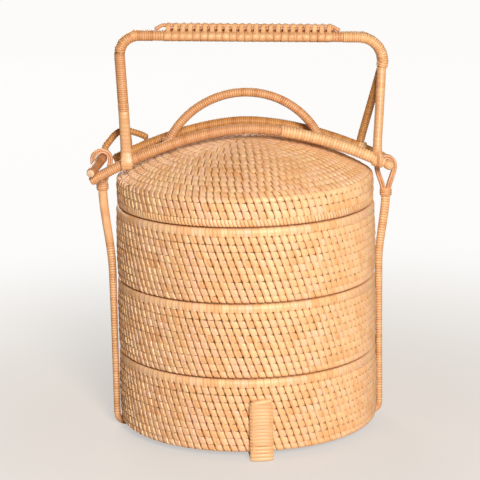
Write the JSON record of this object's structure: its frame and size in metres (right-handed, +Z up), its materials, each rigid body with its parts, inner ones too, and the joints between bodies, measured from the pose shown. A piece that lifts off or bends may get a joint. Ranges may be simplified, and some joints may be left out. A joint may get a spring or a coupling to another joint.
{
  "type": "tiered coiled rattan carrying basket",
  "caption": "Round stacking trays of coiled rattan under a domed lid, held between looped posts by a two-bar yoke with a bail handle, a hinge pin and a hooked locking peg.",
  "frame": {"origin": "on the ground, on the axis of the stack: the middle of the front-to-back runner's underside", "axes": "+Z up along the stack's axis, -Y towards the front, +X towards the yoke's hinge"},
  "size_m": [0.2921, 0.2586, 0.3826],
  "materials": {
    "pale_split_cane": "split rattan peel stitched over a coiled core, clear varnish, satin",
    "rattan_core": "whole rattan cane wrapped with split cane, satin",
    "split_cane_binding": "split cane lashing, tightly wound, satin",
    "dark_bare_rattan": "bare rattan cane with its skin on, semi-gloss"
  },
  "bodies": {
    "carrying_frame": {"front_back_runner": "rattan_core", "left_post": "rattan_core", "right_post": "rattan_core", "left_loop": "rattan_core", "right_loop": "rattan_core", "left_post_collar": "split_cane_binding", "right_post_collar": "split_cane_binding", "crossing_lashing": "split_cane_binding", "front_stub_binding": "split_cane_binding", "back_stub_binding": "split_cane_binding"},
    "bottom_tray": {"bottom_tray_wall": "pale_split_cane", "bottom_tray_floor": "rattan_core", "bottom_tray_rim": "pale_split_cane", "bottom_tray_collar": "rattan_core"},
    "middle_tray": {"middle_tray_wall": "pale_split_cane", "middle_tray_floor": "rattan_core", "middle_tray_rim": "pale_split_cane", "middle_tray_collar": "rattan_core"},
    "top_tray": {"top_tray_wall": "pale_split_cane", "top_tray_floor": "rattan_core", "top_tray_rim": "pale_split_cane", "top_tray_collar": "rattan_core"},
    "lid": {"lid_side": "pale_split_cane", "lid_dome": "pale_split_cane", "lid_arch_handle": "rattan_core", "left_arch_lashing": "split_cane_binding", "right_arch_lashing": "split_cane_binding"},
    "yoke": {"front_bar": "rattan_core", "back_bar": "rattan_core", "hinge_pin": "dark_bare_rattan", "bail_front_rod": "rattan_core", "bail_back_rod": "rattan_core", "left_leg_binding": "split_cane_binding", "right_leg_binding": "split_cane_binding", "grip_binding": "split_cane_binding", "grip_rail": "pale_split_cane", "grip_lacing": "pale_split_cane", "left_front_lashing": "split_cane_binding", "left_back_lashing": "split_cane_binding", "right_front_lashing": "split_cane_binding", "right_back_lashing": "split_cane_binding"},
    "peg": {"locking_peg": "dark_bare_rattan", "peg_tail_binding": "split_cane_binding"}
  },
  "joints": [
    {"name": "bottom_tray_lift", "type": "slide", "parent": "carrying_frame", "child": "bottom_tray", "axis": [0, 0, 1], "range_m": [0, 0.24]},
    {"name": "middle_tray_lift", "type": "slide", "parent": "bottom_tray", "child": "middle_tray", "axis": [0, 0, 1], "range_m": [0, 0.2]},
    {"name": "top_tray_lift", "type": "slide", "parent": "middle_tray", "child": "top_tray", "axis": [0, 0, 1], "range_m": [0, 0.2]},
    {"name": "lid_lift", "type": "slide", "parent": "top_tray", "child": "lid", "axis": [0, 0, 1], "range_m": [0, 0.2]},
    {"name": "yoke_swing", "type": "hinge", "parent": "lid", "child": "yoke", "pos_m": [0.1335, 0, 0.24554], "axis": [0, 1, 0], "range_deg": [0, 110]},
    {"name": "peg_draw", "type": "slide", "parent": "yoke", "child": "peg", "axis": [0.2988, 0.9353, 0.1897], "range_m": [0, 0.042]}
  ]
}
